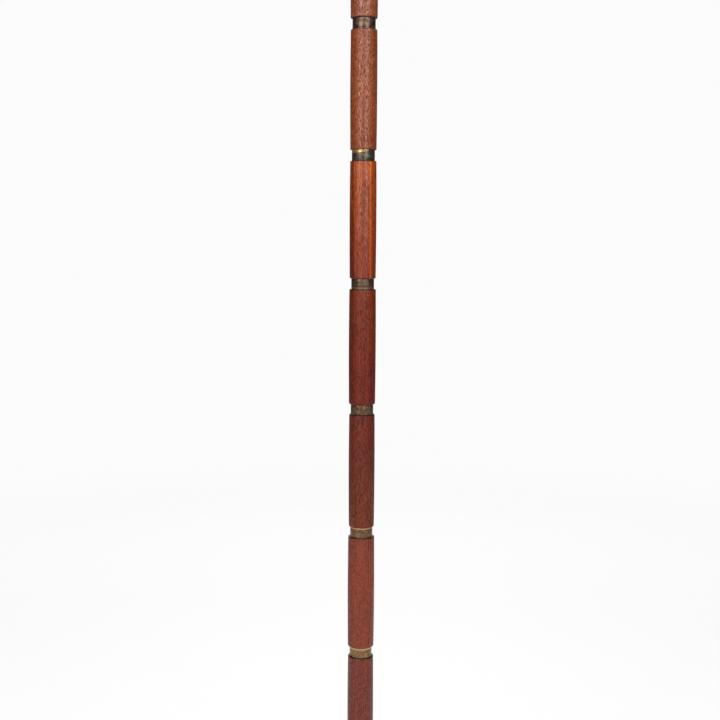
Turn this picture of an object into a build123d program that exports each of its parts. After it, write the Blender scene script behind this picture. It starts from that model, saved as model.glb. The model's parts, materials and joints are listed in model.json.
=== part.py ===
from build123d import *
import math
import os

# A floor-standing flag pole stand, in millimetres. +Z is up, and the origin is the centre of the
# base's underside. The pole is a stack of turned wooden sections with narrower brass collars
# between them, clamped on two threaded rods that meet in a screw joint half way up.

# --- driving dimensions -------------------------------------------------------------------------
SECTIONS = 12  # wooden sections, six below the screw joint and six above it
SECTION_LENGTH = 124.1
COLLAR_GAP = 11.4  # length of brass showing between two sections
JOINT_AFTER = 6  # the screw joint takes the place of the collar above this section

SWELL = 0.7  # how much wider a section is at its middle than at its ends
ARRIS = 0.9  # small rounding of the ends of the wooden sections
# Middle diameter of each section, bottom to top: turned by hand, so no two are quite alike.
GIRTHS = (29.0, 28.9, 29.5, 28.5, 29.3, 28.8, 28.75, 29.2, 28.6, 28.9, 28.5, 28.8)

COLLAR_R = 12.15
COLLAR_EDGE = 0.25  # bevel at the ends of a collar
SPIGOT_R = 8.0
SPIGOT_LENGTH = 5.0
ROD_R = 4.0  # M8 threaded rod

SLACK = 0.05  # radial room between pieces that are screwed or pushed together
TURNING_SLACK = 0.08  # the same where a piece turns or slides in use
HOLE_SLACK = 0.2  # radial room for the rods in the brass pieces that they pass through
BORE_SLACK = 0.6  # radial room for the rods in the wood
END_ROOM = 0.2  # room left beyond the end of a spigot
PAST = 1.0  # how far a cutting shape reaches past the surface that it cuts

BASE_R = 150.0
FELT_THICKNESS = 3.0
BASE_TOP = 39.0  # height of the flat middle of the wooden base
BALLAST_R = 120.0
BALLAST_THICKNESS = 18.0
BALLAST_LIFT = 2.0  # room between the felt and the ballast
BALLAST_SCREW_RING_R = 90.0
FLANGE_R = 44.0
FLANGE_THICKNESS = 4.0
FLANGE_SCREW_RING_R = 36.0

SOCKET_TOP = 128.0
SOCKET_TUBE_R = 17.0
SOCKET_BORE_R = COLLAR_R + TURNING_SLACK
SOCKET_FLOOR = 42.0
SOCKET_PAD_THICKNESS = 2.0
CLAMP_HEIGHT = 92.0  # height of the clamp screw's axis, which points along +X
CLAMP_SCREW_R = 3.0  # M6

JOINT_WASHER_THICKNESS = 1.6
JOINT_STUD_R = 6.0  # M12
JOINT_STUD_ENGAGED = 15.75  # nine turns of a 1.75 mm thread
JOINT_SPIGOT_LENGTH = 30.0

FINIAL_WASHER_THICKNESS = 1.6
FINIAL_STUD_ENGAGED = 10.0  # eight turns of a 1.25 mm thread
CAP_SPIGOT_LENGTH = 14.0
FINIAL_BALL_R = 22.0
BALL_CENTRE_ABOVE_CAP = 40.0

# --- heights that follow ------------------------------------------------------------------------
PITCH = SECTION_LENGTH + COLLAR_GAP
FERRULE_BOTTOM = SOCKET_FLOOR + SOCKET_PAD_THICKNESS
STACK_BOTTOM = SOCKET_TOP + COLLAR_GAP
JOINT_BOTTOM = STACK_BOTTOM + JOINT_AFTER * PITCH - COLLAR_GAP
JOINT_TOP = JOINT_BOTTOM + COLLAR_GAP
STACK_TOP = STACK_BOTTOM + SECTIONS * PITCH - COLLAR_GAP
CAP_TOP = STACK_TOP + COLLAR_GAP
BALLAST_BOTTOM = FELT_THICKNESS + BALLAST_LIFT
BALLAST_TOP = BALLAST_BOTTOM + BALLAST_THICKNESS
FLANGE_TOP = BASE_TOP + FLANGE_THICKNESS


def section_bottom(number):
    """Height of the lower end of a section, numbered from 1 at the bottom of the pole."""
    return STACK_BOTTOM + (number - 1) * PITCH


# --- helpers ------------------------------------------------------------------------------------
UPRIGHT = (Align.CENTER, Align.CENTER, Align.MIN)


def turned(*edges):
    """A solid of revolution about Z from a closed outline of (radius, height) edges."""
    return revolve(Plane.XZ * make_face(list(edges)), Axis.Z)


def outline(*points):
    """Straight edges through (radius, height) points."""
    return [Line(a, b) for a, b in zip(points, points[1:])]


def tube(outer_r, bottom, top, inner_r=0.0):
    """An upright cylinder between two heights, bored through if an inner radius is given."""
    body = Pos(0, 0, bottom) * Cylinder(outer_r, top - bottom, align=UPRIGHT)
    if inner_r:
        bore = Cylinder(inner_r, top - bottom + 2 * PAST, align=UPRIGHT)
        body -= Pos(0, 0, bottom - PAST) * bore
    return body


def around(shape, count, radius):
    """Copies of a shape at even steps around Z, as one compound of separate solids."""
    first_angle = 45
    steps = [Rot(0, 0, 360 * i / count + first_angle) * Pos(radius, 0, 0) for i in range(count)]
    return Compound(children=[step * shape for step in steps])


# Countersunk wood screws, all of one gauge.
SCREW_HEAD_R = 4.2
SCREW_RIM = 0.3  # height of the straight edge of the head
SCREW_SHANK_R = 2.0
SCREW_HEAD_DEPTH = 2.4


def wood_screw(length):
    """A slotted countersunk wood screw, head upward, with its flat top at z = 0."""
    taper = 3.0
    point_r = 0.3
    slot_width = 1.1
    slot_depth = 1.0
    body = turned(
        *outline(
            (0, 0),
            (SCREW_HEAD_R, 0),
            (SCREW_HEAD_R, -SCREW_RIM),
            (SCREW_SHANK_R, -SCREW_HEAD_DEPTH),
            (SCREW_SHANK_R, taper - length),
            (point_r, -length),
            (0, -length),
            (0, 0),
        )
    )
    return body - Box(2 * SCREW_HEAD_R + PAST, slot_width, 2 * slot_depth)


def screw_hole(length):
    """The hole for wood_screw, a little larger all over."""
    bottom = -length - END_ROOM
    return turned(
        *outline(
            (0, PAST),
            (SCREW_HEAD_R + SLACK, PAST),
            (SCREW_HEAD_R + SLACK, -SCREW_RIM - SLACK),
            (SCREW_SHANK_R + SLACK, -SCREW_HEAD_DEPTH - SLACK),
            (SCREW_SHANK_R + SLACK, bottom),
            (0, bottom),
            (0, PAST),
        )
    )


# --- base ---------------------------------------------------------------------------------------
FLANGE_SCREW_LENGTH = 16.0
BALLAST_SCREW_LENGTH = 26.0
SOCKET_SPIGOT_R = 16.0
SOCKET_SPIGOT_BOTTOM = 27.0


def felt_pad():
    margin = 4.0
    return tube(BASE_R - margin, 0, FELT_THICKNESS)


def base_disc():
    """The turned wooden base: rounded rim, a small step, and a low dome up to a flat middle."""
    bottom = FELT_THICKNESS
    rim_round = 7.0
    rim_top = 24.0
    step_r = BASE_R - rim_round - 3.0
    step_top = rim_top + 2.2
    flat_r = FLANGE_R + 5.0
    dome_rise = 2.0  # how far the dome stands above a straight slope half way in
    dome_middle = ((step_r + flat_r) / 2, (step_top + BASE_TOP) / 2 + dome_rise)
    corner = 1.5
    recess_r = BALLAST_R + 1.0
    spigot_hole_r = SOCKET_SPIGOT_R + SLACK
    spigot_hole_bottom = SOCKET_SPIGOT_BOTTOM - END_ROOM
    rim_middle = (
        BASE_R - rim_round + rim_round * math.cos(math.pi / 4),
        rim_top - rim_round + rim_round * math.sin(math.pi / 4),
    )
    body = turned(
        *outline(
            (0, BALLAST_TOP),
            (recess_r, BALLAST_TOP),
            (recess_r, bottom),
            (BASE_R - corner, bottom),
            (BASE_R, bottom + corner),
            (BASE_R, rim_top - rim_round),
        ),
        ThreePointArc((BASE_R, rim_top - rim_round), rim_middle, (BASE_R - rim_round, rim_top)),
        *outline((BASE_R - rim_round, rim_top), (step_r, rim_top), (step_r, step_top)),
        ThreePointArc((step_r, step_top), dome_middle, (flat_r, BASE_TOP)),
        *outline(
            (flat_r, BASE_TOP),
            (spigot_hole_r, BASE_TOP),
            (spigot_hole_r, spigot_hole_bottom),
            (0, spigot_hole_bottom),
            (0, BALLAST_TOP),
        ),
    )
    flange_holes = Pos(0, 0, FLANGE_TOP) * screw_hole(FLANGE_SCREW_LENGTH)
    ballast_holes = Pos(0, 0, BALLAST_BOTTOM) * Rot(180, 0, 0) * screw_hole(BALLAST_SCREW_LENGTH)
    body -= around(flange_holes, 4, FLANGE_SCREW_RING_R)
    body -= around(ballast_holes, 3, BALLAST_SCREW_RING_R)
    return body


def ballast_disc():
    """The cast-iron weight let into the underside of the base."""
    edge = 2.0
    body = turned(
        *outline(
            (0, BALLAST_BOTTOM),
            (BALLAST_R - edge, BALLAST_BOTTOM),
            (BALLAST_R, BALLAST_BOTTOM + edge),
            (BALLAST_R, BALLAST_TOP),
            (0, BALLAST_TOP),
            (0, BALLAST_BOTTOM),
        )
    )
    holes = Pos(0, 0, BALLAST_BOTTOM) * Rot(180, 0, 0) * screw_hole(BALLAST_SCREW_LENGTH)
    return body - around(holes, 3, BALLAST_SCREW_RING_R)


def ballast_screws():
    screw = Pos(0, 0, BALLAST_BOTTOM) * Rot(180, 0, 0) * wood_screw(BALLAST_SCREW_LENGTH)
    return around(screw, 3, BALLAST_SCREW_RING_R)


def flange_screws():
    return around(Pos(0, 0, FLANGE_TOP) * wood_screw(FLANGE_SCREW_LENGTH), 4, FLANGE_SCREW_RING_R)


# --- socket and clamp ---------------------------------------------------------------------------
BOSS_R = 7.5
BOSS_START = SOCKET_BORE_R + 1.5
BOSS_END = 23.0
CLAMP_PAD_R = 2.7
CLAMP_PAD_LENGTH = 3.0


def along_x(radius, start, end):
    """A cylinder on the clamp screw's axis between two distances from the pole's axis."""
    body = Cylinder(radius, end - start, align=UPRIGHT)
    return Pos(start, 0, CLAMP_HEIGHT) * Rot(0, 90, 0) * body


def socket():
    """The brass socket: spigot and screwed flange, flared foot, tube, lip and clamp boss."""
    flare_r = 27.0
    flare_top = 62.0
    hollow = 2.9  # how far the flare lies inside a straight slope half way up
    flare_middle = ((flare_r + SOCKET_TUBE_R - hollow) / 2, (FLANGE_TOP + flare_top - hollow) / 2)
    lip_r = SOCKET_TUBE_R + 2.5
    lip_bottom = SOCKET_TOP - 9.0
    lip_round = 1.5
    mouth = 0.8
    edge = 1.2
    boss_bevel = 1.0
    body = turned(
        *outline(
            (0, SOCKET_SPIGOT_BOTTOM),
            (SOCKET_SPIGOT_R, SOCKET_SPIGOT_BOTTOM),
            (SOCKET_SPIGOT_R, BASE_TOP),
            (FLANGE_R, BASE_TOP),
            (FLANGE_R, FLANGE_TOP - edge),
            (FLANGE_R - edge, FLANGE_TOP),
            (flare_r, FLANGE_TOP),
        ),
        ThreePointArc((flare_r, FLANGE_TOP), flare_middle, (SOCKET_TUBE_R, flare_top)),
        *outline(
            (SOCKET_TUBE_R, flare_top),
            (SOCKET_TUBE_R, lip_bottom),
            (lip_r - lip_round, lip_bottom),
            (lip_r, lip_bottom + lip_round),
            (lip_r, SOCKET_TOP - lip_round),
            (lip_r - lip_round, SOCKET_TOP),
            (SOCKET_BORE_R + mouth, SOCKET_TOP),
            (SOCKET_BORE_R, SOCKET_TOP - mouth),
            (SOCKET_BORE_R, SOCKET_FLOOR),
            (0, SOCKET_FLOOR),
            (0, SOCKET_SPIGOT_BOTTOM),
        ),
    )
    boss = along_x(BOSS_R, BOSS_START, BOSS_END)
    body += chamfer(boss.edges().group_by(Axis.X)[-1], boss_bevel)
    body -= along_x(CLAMP_SCREW_R + SLACK, SOCKET_BORE_R - PAST, BOSS_END + PAST)
    holes = Pos(0, 0, FLANGE_TOP) * screw_hole(FLANGE_SCREW_LENGTH)
    return body - around(holes, 4, FLANGE_SCREW_RING_R)


def socket_pad():
    """The leather disc that the pole stands on, at the bottom of the socket."""
    return tube(SOCKET_BORE_R - SLACK, SOCKET_FLOOR, FERRULE_BOTTOM)


def clamp_pad():
    """The brass button that the clamp screw presses against the pole's ferrule."""
    start = COLLAR_R + SLACK
    return along_x(CLAMP_PAD_R, start, start + CLAMP_PAD_LENGTH)


def clamp_screw():
    """The thumb screw: M6 shank, neck and a fluted head."""
    shank_start = COLLAR_R + CLAMP_PAD_LENGTH + 2 * SLACK
    neck_start = BOSS_END + 2.5
    neck_r = 5.5
    head_start = neck_start + 3.5
    head_end = head_start + 8.0
    head_r = 11.0
    head_bevel = 0.8
    flutes = 20
    flute_r = 1.0
    head = along_x(head_r, head_start, head_end)
    head = chamfer(head.edges().filter_by(GeomType.CIRCLE), head_bevel)
    for i in range(flutes):
        angle = 2 * math.pi * i / flutes
        groove = Pos(0, head_r * math.cos(angle), head_r * math.sin(angle))
        head -= groove * along_x(flute_r, head_start - PAST, head_end + PAST)
    shank = along_x(CLAMP_SCREW_R, shank_start, head_start + PAST)
    neck = along_x(neck_r, neck_start, head_start + PAST)
    return head + neck + shank


# --- pole ---------------------------------------------------------------------------------------
def socketed_depths(number):
    """Depths of the counterbores in a section's lower and upper ends."""
    lower = upper = SPIGOT_LENGTH
    if number == JOINT_AFTER:
        upper = JOINT_SPIGOT_LENGTH
    if number == JOINT_AFTER + 1:
        lower = JOINT_SPIGOT_LENGTH
    if number == SECTIONS:
        upper = CAP_SPIGOT_LENGTH
    return lower + END_ROOM, upper + END_ROOM


def section(number):
    """One wooden section: slightly barrelled, bored for the rod and counterbored at each end."""
    low = section_bottom(number)
    high = low + SECTION_LENGTH
    middle_r = GIRTHS[number - 1] / 2
    end_r = middle_r - SWELL / 2
    lower_depth, upper_depth = socketed_depths(number)
    seat_r = SPIGOT_R + SLACK
    bore_r = ROD_R + BORE_SLACK
    inset = ARRIS * (1 - math.sqrt(0.5))  # how far the rounded corner's middle is set back
    lower_corner = (end_r - inset, low + inset)
    upper_corner = (end_r - inset, high - inset)
    return turned(
        Line((seat_r, low), (end_r - ARRIS, low)),
        ThreePointArc((end_r - ARRIS, low), lower_corner, (end_r, low + ARRIS)),
        ThreePointArc(
            (end_r, low + ARRIS), (middle_r, (low + high) / 2), (end_r, high - ARRIS)
        ),
        ThreePointArc((end_r, high - ARRIS), upper_corner, (end_r - ARRIS, high)),
        *outline(
            (end_r - ARRIS, high),
            (seat_r, high),
            (seat_r, high - upper_depth),
            (bore_r, high - upper_depth),
            (bore_r, low + lower_depth),
            (seat_r, low + lower_depth),
            (seat_r, low),
        ),
    )


def collar(number):
    """The brass collar above a section, with a spigot each way and a hole for the rod."""
    low = section_bottom(number) + SECTION_LENGTH
    high = low + COLLAR_GAP
    hole_r = ROD_R + HOLE_SLACK
    return turned(
        *outline(
            (hole_r, low - SPIGOT_LENGTH),
            (SPIGOT_R, low - SPIGOT_LENGTH),
            (SPIGOT_R, low),
            (COLLAR_R - COLLAR_EDGE, low),
            (COLLAR_R, low + COLLAR_EDGE),
            (COLLAR_R, high - COLLAR_EDGE),
            (COLLAR_R - COLLAR_EDGE, high),
            (SPIGOT_R, high),
            (SPIGOT_R, high + SPIGOT_LENGTH),
            (hole_r, high + SPIGOT_LENGTH),
            (hole_r, low - SPIGOT_LENGTH),
        )
    )


FERRULE_WEB_BOTTOM = 118.0
TIE_WASHER_THICKNESS = 1.6
TIE_NUT_HEIGHT = 6.5
TIE_NUT_FLATS = 13.0
ROD_PAST_NUT = 4.0
ROD_IN_SPIGOT = 13.0  # length of rod screwed into each half of the joint
ROD_BELOW_CAP = 2.0  # how far the upper rod ends below the last section's top
LOWER_ROD_BOTTOM = FERRULE_WEB_BOTTOM - TIE_WASHER_THICKNESS - TIE_NUT_HEIGHT - ROD_PAST_NUT
LOWER_ROD_TOP = JOINT_BOTTOM - JOINT_SPIGOT_LENGTH + ROD_IN_SPIGOT
UPPER_ROD_BOTTOM = JOINT_TOP + JOINT_SPIGOT_LENGTH - ROD_IN_SPIGOT
UPPER_ROD_TOP = STACK_TOP - ROD_BELOW_CAP


def pole_ferrule():
    """The brass foot of the pole: hollow below for the nut, with a spigot into section 1."""
    cavity_r = 9.2
    lead_in = 1.5
    hole_r = ROD_R + HOLE_SLACK
    return turned(
        *outline(
            (cavity_r, FERRULE_BOTTOM),
            (COLLAR_R - lead_in, FERRULE_BOTTOM),
            (COLLAR_R, FERRULE_BOTTOM + lead_in),
            (COLLAR_R, STACK_BOTTOM),
            (SPIGOT_R, STACK_BOTTOM),
            (SPIGOT_R, STACK_BOTTOM + SPIGOT_LENGTH),
            (hole_r, STACK_BOTTOM + SPIGOT_LENGTH),
            (hole_r, FERRULE_WEB_BOTTOM),
            (cavity_r, FERRULE_WEB_BOTTOM),
            (cavity_r, FERRULE_BOTTOM),
        )
    )


def tie_washer():
    washer_r = 8.5
    bottom = FERRULE_WEB_BOTTOM - TIE_WASHER_THICKNESS
    return tube(washer_r, bottom, FERRULE_WEB_BOTTOM, ROD_R + HOLE_SLACK)


def tie_nut():
    bottom = FERRULE_WEB_BOTTOM - TIE_WASHER_THICKNESS - TIE_NUT_HEIGHT
    corner_r = TIE_NUT_FLATS / math.sqrt(3)
    body = Pos(0, 0, bottom) * extrude(RegularPolygon(corner_r, 6), TIE_NUT_HEIGHT)
    return body - tube(ROD_R + SLACK, bottom - PAST, bottom + TIE_NUT_HEIGHT + PAST)


def threaded_rod(bottom, top):
    """A tie rod with a bevel at each end."""
    bevel = 0.8
    return turned(
        *outline(
            (0, bottom),
            (ROD_R - bevel, bottom),
            (ROD_R, bottom + bevel),
            (ROD_R, top - bevel),
            (ROD_R - bevel, top),
            (0, top),
            (0, bottom),
        )
    )


# --- screw joint half way up --------------------------------------------------------------------
def joint_socket():
    """The lower half of the screw joint, held down by the lower rod and tapped M12 above."""
    bottom = JOINT_BOTTOM - JOINT_SPIGOT_LENGTH
    head_top = JOINT_TOP - JOINT_WASHER_THICKNESS
    tapped_r = JOINT_STUD_R + TURNING_SLACK
    tapped_bottom = head_top - JOINT_STUD_ENGAGED - 3.0
    rod_r = ROD_R + SLACK
    rod_hole_top = LOWER_ROD_TOP + 1.0
    return turned(
        *outline(
            (rod_r, bottom),
            (SPIGOT_R, bottom),
            (SPIGOT_R, JOINT_BOTTOM),
            (COLLAR_R - COLLAR_EDGE, JOINT_BOTTOM),
            (COLLAR_R, JOINT_BOTTOM + COLLAR_EDGE),
            (COLLAR_R, head_top - COLLAR_EDGE),
            (COLLAR_R - COLLAR_EDGE, head_top),
            (tapped_r, head_top),
            (tapped_r, tapped_bottom),
            (0, tapped_bottom),
            (0, rod_hole_top),
            (rod_r, rod_hole_top),
            (rod_r, bottom),
        )
    )


def joint_washer():
    """The bright brass washer that seats the screw joint."""
    hole_r = JOINT_STUD_R + HOLE_SLACK
    return tube(COLLAR_R, JOINT_TOP - JOINT_WASHER_THICKNESS, JOINT_TOP, hole_r)


def joint_stud():
    """The upper half of the screw joint: a stud below and a bored body inside section 7."""
    tip = JOINT_TOP - JOINT_WASHER_THICKNESS - JOINT_STUD_ENGAGED
    top = JOINT_TOP + JOINT_SPIGOT_LENGTH
    bevel = 1.0
    rod_hole_bottom = UPPER_ROD_BOTTOM - 1.0
    return turned(
        *outline(
            (0, tip),
            (JOINT_STUD_R - bevel, tip),
            (JOINT_STUD_R, tip + bevel),
            (JOINT_STUD_R, JOINT_TOP),
            (SPIGOT_R, JOINT_TOP),
            (SPIGOT_R, top),
            (ROD_R + SLACK, top),
            (ROD_R + SLACK, rod_hole_bottom),
            (0, rod_hole_bottom),
            (0, tip),
        )
    )


# --- top of the pole ----------------------------------------------------------------------------
FINIAL_BOTTOM = CAP_TOP + FINIAL_WASHER_THICKNESS
BALL_CENTRE = CAP_TOP + BALL_CENTRE_ABOVE_CAP
NECK_TOP_R = 9.0
FINIAL_NUT_R = 6.5
BALL_FLAT_R = FINIAL_NUT_R + 0.3  # the flat that the nut sits on
BALL_TOP = BALL_CENTRE + math.sqrt(FINIAL_BALL_R**2 - BALL_FLAT_R**2)
FINIAL_STUD_BOTTOM = CAP_TOP - FINIAL_STUD_ENGAGED
FINIAL_STUD_TOP = BALL_TOP + 4.0


def top_cap():
    """The brass cap that clamps the upper sections on their rod and takes the finial's stud."""
    bottom = STACK_TOP - CAP_SPIGOT_LENGTH
    edge = 0.4
    stud_hole_r = ROD_R + TURNING_SLACK
    stud_hole_bottom = UPPER_ROD_TOP + 0.5
    return turned(
        *outline(
            (ROD_R + SLACK, bottom),
            (SPIGOT_R, bottom),
            (SPIGOT_R, STACK_TOP),
            (COLLAR_R, STACK_TOP),
            (COLLAR_R, CAP_TOP - edge),
            (COLLAR_R - edge, CAP_TOP),
            (stud_hole_r, CAP_TOP),
            (stud_hole_r, stud_hole_bottom),
            (ROD_R + SLACK, stud_hole_bottom),
            (ROD_R + SLACK, bottom),
        )
    )


def finial_washer():
    return tube(COLLAR_R + 1.0, CAP_TOP, FINIAL_BOTTOM, ROD_R + HOLE_SLACK)


def finial_neck():
    """The waisted brass neck under the ball, with a shallow cup that the ball sits in."""
    foot_r = COLLAR_R + 0.5
    foot_top = FINIAL_BOTTOM + 2.4
    waist_r = 6.6
    waist_height = FINIAL_BOTTOM + 10.0
    rim_height = 1.5
    rim_bottom = BALL_CENTRE - math.sqrt(FINIAL_BALL_R**2 - NECK_TOP_R**2) - rim_height
    hole_r = ROD_R + SLACK
    cup_middle_r = (hole_r + NECK_TOP_R) / 2
    seat_r = FINIAL_BALL_R + SLACK

    def cup(radius):
        return BALL_CENTRE - math.sqrt(seat_r**2 - radius**2)

    return turned(
        *outline((hole_r, FINIAL_BOTTOM), (foot_r, FINIAL_BOTTOM), (foot_r, foot_top)),
        ThreePointArc(
            (foot_r, foot_top), (waist_r, waist_height), (NECK_TOP_R, rim_bottom)
        ),
        Line((NECK_TOP_R, rim_bottom), (NECK_TOP_R, cup(NECK_TOP_R))),
        ThreePointArc(
            (NECK_TOP_R, cup(NECK_TOP_R)),
            (cup_middle_r, cup(cup_middle_r)),
            (hole_r, cup(hole_r)),
        ),
        Line((hole_r, cup(hole_r)), (hole_r, FINIAL_BOTTOM)),
    )


def finial_ball():
    """The turned wooden ball, bored through for its stud, with a small flat under the nut."""
    body = Pos(0, 0, BALL_CENTRE) * Sphere(FINIAL_BALL_R)
    body -= tube(FINIAL_BALL_R, BALL_TOP, BALL_TOP + FINIAL_BALL_R)
    return body - tube(ROD_R + SLACK, BALL_CENTRE - FINIAL_BALL_R - PAST, BALL_TOP + PAST)


def finial_nut():
    """The domed brass nut that holds the ball down on its neck."""
    skirt_top = BALL_TOP + 2.5
    dome_height = 5.5
    dome_r = (FINIAL_NUT_R**2 + dome_height**2) / (2 * dome_height)
    dome_centre = skirt_top + dome_height - dome_r
    shoulder_r = FINIAL_NUT_R / 2
    shoulder = (shoulder_r, dome_centre + math.sqrt(dome_r**2 - shoulder_r**2))
    hole_r = ROD_R + SLACK
    hole_top = FINIAL_STUD_TOP + END_ROOM
    return turned(
        *outline((hole_r, BALL_TOP), (FINIAL_NUT_R, BALL_TOP), (FINIAL_NUT_R, skirt_top)),
        ThreePointArc((FINIAL_NUT_R, skirt_top), shoulder, (0, skirt_top + dome_height)),
        *outline(
            (0, skirt_top + dome_height),
            (0, hole_top),
            (hole_r, hole_top),
            (hole_r, BALL_TOP),
        ),
    )


# --- write every piece --------------------------------------------------------------------------
def pieces():
    """Every piece of the stand by its node name."""
    made = {
        "felt_pad": felt_pad(),
        "base_disc": base_disc(),
        "ballast_disc": ballast_disc(),
        "ballast_screws": ballast_screws(),
        "socket": socket(),
        "flange_screws": flange_screws(),
        "socket_pad": socket_pad(),
        "clamp_pad": clamp_pad(),
        "clamp_screw": clamp_screw(),
        "pole_ferrule": pole_ferrule(),
        "tie_washer": tie_washer(),
        "tie_nut": tie_nut(),
        "lower_tie_rod": threaded_rod(LOWER_ROD_BOTTOM, LOWER_ROD_TOP),
        "joint_socket": joint_socket(),
        "joint_washer": joint_washer(),
        "joint_stud": joint_stud(),
        "upper_tie_rod": threaded_rod(UPPER_ROD_BOTTOM, UPPER_ROD_TOP),
        "top_cap": top_cap(),
        "finial_washer": finial_washer(),
        "finial_neck": finial_neck(),
        "finial_ball": finial_ball(),
        "finial_nut": finial_nut(),
        "finial_stud": threaded_rod(FINIAL_STUD_BOTTOM, FINIAL_STUD_TOP),
    }
    for number in range(1, SECTIONS + 1):
        made[f"section_{number:02d}"] = section(number)
        if number not in (JOINT_AFTER, SECTIONS):
            made[f"collar_{number:02d}"] = collar(number)
    return made


os.makedirs("parts", exist_ok=True)
for name, shape in pieces().items():
    export_step(shape, f"parts/{name}.step")
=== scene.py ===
import json
import math

import bpy
from mathutils import Matrix, Vector, noise

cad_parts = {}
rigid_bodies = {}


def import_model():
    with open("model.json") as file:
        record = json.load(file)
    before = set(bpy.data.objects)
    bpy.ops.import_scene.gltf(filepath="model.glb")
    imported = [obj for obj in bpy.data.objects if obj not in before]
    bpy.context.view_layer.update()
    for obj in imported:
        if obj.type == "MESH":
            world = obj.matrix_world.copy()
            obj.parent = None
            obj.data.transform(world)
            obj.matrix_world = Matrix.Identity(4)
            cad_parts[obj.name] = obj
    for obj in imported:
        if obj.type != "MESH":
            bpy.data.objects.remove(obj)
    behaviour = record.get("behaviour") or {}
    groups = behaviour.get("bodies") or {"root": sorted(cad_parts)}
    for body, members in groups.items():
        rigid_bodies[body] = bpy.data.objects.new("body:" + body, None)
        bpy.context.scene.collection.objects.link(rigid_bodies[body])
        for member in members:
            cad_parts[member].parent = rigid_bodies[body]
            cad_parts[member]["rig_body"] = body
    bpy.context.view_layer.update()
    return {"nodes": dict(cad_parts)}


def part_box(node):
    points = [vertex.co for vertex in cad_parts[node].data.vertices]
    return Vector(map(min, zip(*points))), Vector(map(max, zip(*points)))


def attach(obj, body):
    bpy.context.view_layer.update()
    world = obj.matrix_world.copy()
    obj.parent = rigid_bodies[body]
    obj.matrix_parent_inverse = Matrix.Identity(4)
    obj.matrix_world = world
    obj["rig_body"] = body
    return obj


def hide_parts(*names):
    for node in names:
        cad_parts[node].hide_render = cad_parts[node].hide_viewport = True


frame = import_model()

# The looks of a flag pole stand: turned hardwood sections with tarnished brass collars, on a
# weighted wooden base. The frame is in metres. Outlines of turned pieces are (radius, height) in
# millimetres, and materials work in metres.

MM = 0.001
SECTIONS = 12
JOINT_AFTER = 6  # the pole unscrews above this section

# Sizes shared with the model, in millimetres.
COLLAR_R = 12.15
COLLAR_GAP = 11.4  # brass in view between two sections
SPIGOT_R = 8.0  # a collar's ends, inside the sections
SPIGOT_LENGTH = 5.0
ROD_R = 4.0
ROD_PITCH = 1.25
BORED_R = 4.05  # holes that a rod is screwed into
CLEARED_R = 4.2  # holes that a rod passes through
LEAD_IN = 0.6  # bevel at the mouth of a threaded hole
SOFT = 0.3  # usual rounding of a brass edge


# --- mesh helpers -------------------------------------------------------------------------------
ON_AXIS = 1e-9  # a smaller radius is a point on the axis
ROWS_PER_TURN = 10
THREAD_DEPTH = 0.54  # as a share of the pitch


def arc_through(start, middle, end, steps):
    """Points of the circular arc through three (radius, height) points."""
    (ax, ay), (bx, by), (cx, cy) = start, middle, end
    a2, b2, c2 = ax * ax + ay * ay, bx * bx + by * by, cx * cx + cy * cy
    twice_area = 2 * (ax * (by - cy) + bx * (cy - ay) + cx * (ay - by))
    x = (a2 * (by - cy) + b2 * (cy - ay) + c2 * (ay - by)) / twice_area
    y = (a2 * (cx - bx) + b2 * (ax - cx) + c2 * (bx - ax)) / twice_area
    radius = math.hypot(ax - x, ay - y)
    first, via, last = (math.atan2(q - y, p - x) for p, q in (start, middle, end))
    sweep = (last - first) % (2 * math.pi)
    if (via - first) % (2 * math.pi) > sweep:
        sweep -= 2 * math.pi
    angles = [first + sweep * i / steps for i in range(steps + 1)]
    return [(x + radius * math.cos(a), y + radius * math.sin(a)) for a in angles]


def rounded(corners, steps=4):
    """An outline through (radius, height) corners. A third number rounds the corner by that."""
    points = []
    for i, (radius, height, *soft) in enumerate(corners):
        if not soft:
            points.append((radius, height))
            continue
        here = Vector((radius, height))
        before = Vector(corners[i - 1][:2]) - here
        after = Vector(corners[(i + 1) % len(corners)][:2]) - here
        reach = min(soft[0], 0.45 * before.length, 0.45 * after.length)
        first, last = here + before.normalized() * reach, here + after.normalized() * reach
        for k in range(steps + 1):
            t = k / steps
            point = first * (1 - t) ** 2 + here * 2 * t * (1 - t) + last * t**2
            points.append((point.x, point.y))
    return points


def new_piece(name, vertices, faces):
    """A smooth mesh object from vertices in millimetres."""
    mesh = bpy.data.meshes.new(name)
    mesh.from_pydata([[c * MM for c in v] for v in vertices], [], faces)
    mesh.validate()
    mesh.polygons.foreach_set("use_smooth", [True] * len(mesh.polygons))
    piece = bpy.data.objects.new(name, mesh)
    bpy.context.scene.collection.objects.link(piece)
    return piece


def lathe(name, outline, segments=96, shape=None, onto=None):
    """A solid of revolution about Z from an outline that runs anticlockwise. It may start and end
    on the axis. shape(radius, height, angle) gives a changed radius, and onto moves the result."""
    vertices = []
    rings = []
    for radius, height in outline:
        if radius < ON_AXIS:
            rings.append([len(vertices)] * segments)
            vertices.append((0.0, 0.0, height))
            continue
        rings.append(range(len(vertices), len(vertices) + segments))
        for i in range(segments):
            angle = 2 * math.pi * i / segments
            r = shape(radius, height, angle) if shape else radius
            vertices.append((r * math.cos(angle), r * math.sin(angle), height))
    pairs = list(zip(rings, rings[1:]))
    if outline[0][0] > ON_AXIS:
        pairs.append((rings[-1], rings[0]))
    faces = []
    for lower, upper in pairs:
        for i in range(segments):
            j = (i + 1) % segments
            corners = [lower[i], lower[j], upper[j], upper[i]]
            face = [c for k, c in enumerate(corners) if c != corners[k - 1]]
            if len(face) > 2:
                faces.append(face)
    if onto is not None:
        vertices = [onto @ Vector(v) for v in vertices]
    return new_piece(name, vertices, faces)


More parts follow.
